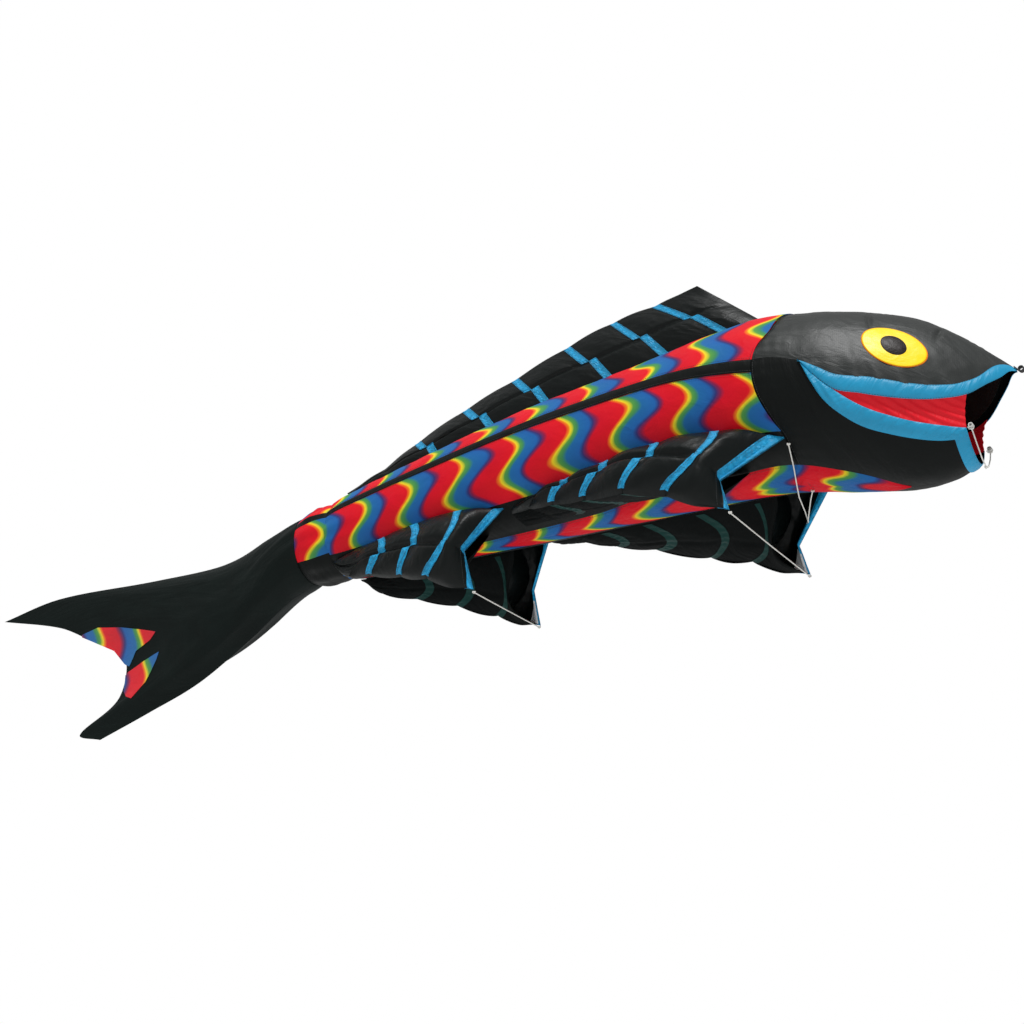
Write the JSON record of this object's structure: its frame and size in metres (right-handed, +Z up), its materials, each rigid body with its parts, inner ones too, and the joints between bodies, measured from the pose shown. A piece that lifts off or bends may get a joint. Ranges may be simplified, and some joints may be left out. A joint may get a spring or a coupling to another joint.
{
  "type": "carp streamer",
  "caption": "Wind-filled cloth fish with an open mouth, rainbow side gores, inflated side fins, a back fin and a forked tail, flown from a loop on its upper lip.",
  "frame": {"origin": "middle of the towing loop on the upper lip", "axes": "+X towards the nose, +Z up through the back fin, +Y to the left side of the fish"},
  "size_m": [4.622, 0.8336, 1.238],
  "materials": {
    "black_ripstop": "calendered ripstop",
    "rainbow_ripstop": "calendered ripstop",
    "cyan_ripstop": "calendered ripstop",
    "red_ripstop": "calendered ripstop",
    "yellow_ripstop": "calendered ripstop",
    "line": "braided",
    "webbing": "woven"
  },
  "bodies": {
    "body": {"left_back_gore": "rainbow_ripstop", "right_back_gore": "rainbow_ripstop", "left_lateral_strip": "black_ripstop", "right_lateral_strip": "black_ripstop", "left_side_gore": "rainbow_ripstop", "right_side_gore": "rainbow_ripstop", "left_flank_gore": "black_ripstop", "right_flank_gore": "black_ripstop", "left_belly_gore": "rainbow_ripstop", "right_belly_gore": "rainbow_ripstop", "left_crown": "black_ripstop", "right_crown": "black_ripstop", "left_chin": "black_ripstop", "right_chin": "black_ripstop", "left_upper_lip": "cyan_ripstop", "right_upper_lip": "cyan_ripstop", "left_lower_lip": "cyan_ripstop", "right_lower_lip": "cyan_ripstop", "left_mouth_gusset": "red_ripstop", "right_mouth_gusset": "red_ripstop", "left_eye": "yellow_ripstop", "right_eye": "yellow_ripstop", "left_pupil": "black_ripstop", "right_pupil": "black_ripstop", "lip_loop": "webbing", "jaw_loops": "webbing", "jaw_line": "line", "root_stay": "line", "keel_stay": "line"},
    "waist": {"waist_band": "rainbow_ripstop"},
    "tail": {"left_tail_panel": "black_ripstop", "right_tail_panel": "black_ripstop", "left_tail_insets": "rainbow_ripstop", "right_tail_insets": "rainbow_ripstop"},
    "dorsal": {"left_dorsal_skin": "black_ripstop", "right_dorsal_skin": "black_ripstop", "dorsal_ribs": "black_ripstop", "left_dorsal_tapes": "cyan_ripstop", "right_dorsal_tapes": "cyan_ripstop"},
    "right_pectoral": {"right_pectoral_outer": "black_ripstop", "right_pectoral_inner": "black_ripstop", "right_pectoral_ribs": "black_ripstop", "right_pectoral_tapes": "cyan_ripstop", "right_pectoral_hem": "cyan_ripstop"},
    "left_pectoral": {"left_pectoral_outer": "black_ripstop", "left_pectoral_inner": "black_ripstop", "left_pectoral_ribs": "black_ripstop", "left_pectoral_tapes": "cyan_ripstop", "left_pectoral_hem": "cyan_ripstop"},
    "right_pelvic": {"right_pelvic_outer": "black_ripstop", "right_pelvic_inner": "black_ripstop", "right_pelvic_ribs": "black_ripstop", "right_pelvic_tapes": "cyan_ripstop"},
    "left_pelvic": {"left_pelvic_outer": "black_ripstop", "left_pelvic_inner": "black_ripstop", "left_pelvic_ribs": "black_ripstop", "left_pelvic_tapes": "cyan_ripstop"},
    "pectoral_tie": {"pectoral_line": "line"},
    "pelvic_tie": {"pelvic_line": "line"}
  },
  "joints": [
    {"name": "tail_swing", "type": "hinge", "parent": "body", "child": "waist", "pos_m": [-2.812, 0, 0.052], "axis": [0, 0, 1], "range_deg": [-25, 25], "stiffness_Nm_per_rad": 40},
    {"name": "tail_dip", "type": "hinge", "parent": "waist", "child": "tail", "pos_m": [-2.812, 0, 0.052], "axis": [0, 1, 0], "range_deg": [-12, 12], "stiffness_Nm_per_rad": 60, "springref_deg": 1.6},
    {"name": "dorsal_lean", "type": "hinge", "parent": "body", "child": "dorsal", "pos_m": [-0.827, 0, 0.42187], "axis": [0.9944, 0, 0.106], "range_deg": [-10, 10], "stiffness_Nm_per_rad": 8},
    {"name": "right_pectoral_swing", "type": "hinge", "parent": "body", "child": "right_pectoral", "pos_m": [-0.765, -0.20837, -0.14851], "axis": [0.9979, -0.0419, -0.0498], "range_deg": [-8, 8], "stiffness_Nm_per_rad": 4},
    {"name": "left_pectoral_swing", "type": "hinge", "parent": "body", "child": "left_pectoral", "pos_m": [-0.765, 0.20837, -0.14851], "axis": [0.9979, 0.0419, -0.0498], "range_deg": [-8, 8], "stiffness_Nm_per_rad": 4},
    {"name": "right_pelvic_swing", "type": "hinge", "parent": "body", "child": "right_pelvic", "pos_m": [-1.894, -0.15929, -0.0955], "axis": [0.9974, -0.0662, -0.0273], "range_deg": [-8, 8], "stiffness_Nm_per_rad": 3},
    {"name": "left_pelvic_swing", "type": "hinge", "parent": "body", "child": "left_pelvic", "pos_m": [-1.894, 0.15929, -0.0955], "axis": [0.9974, 0.0662, -0.0273], "range_deg": [-8, 8], "stiffness_Nm_per_rad": 3},
    {"name": "pectoral_tie_turn", "type": "hinge", "parent": "right_pectoral", "child": "pectoral_tie", "pos_m": [-0.936, -0.378, -0.408], "axis": [1, 0, 0], "range_deg": [-5, 5]},
    {"name": "pelvic_tie_turn", "type": "hinge", "parent": "right_pelvic", "child": "pelvic_tie", "pos_m": [-1.997, -0.253, -0.409], "axis": [1, 0, 0], "range_deg": [-5, 5]}
  ],
  "couplings": [
    {"joint": "left_pectoral_swing", "follows": "right_pectoral_swing", "ratio": 1},
    {"joint": "left_pelvic_swing", "follows": "right_pelvic_swing", "ratio": 1},
    {"joint": "pectoral_tie_turn", "follows": "right_pectoral_swing", "ratio": -0.542},
    {"joint": "pelvic_tie_turn", "follows": "right_pelvic_swing", "ratio": -0.605}
  ]
}
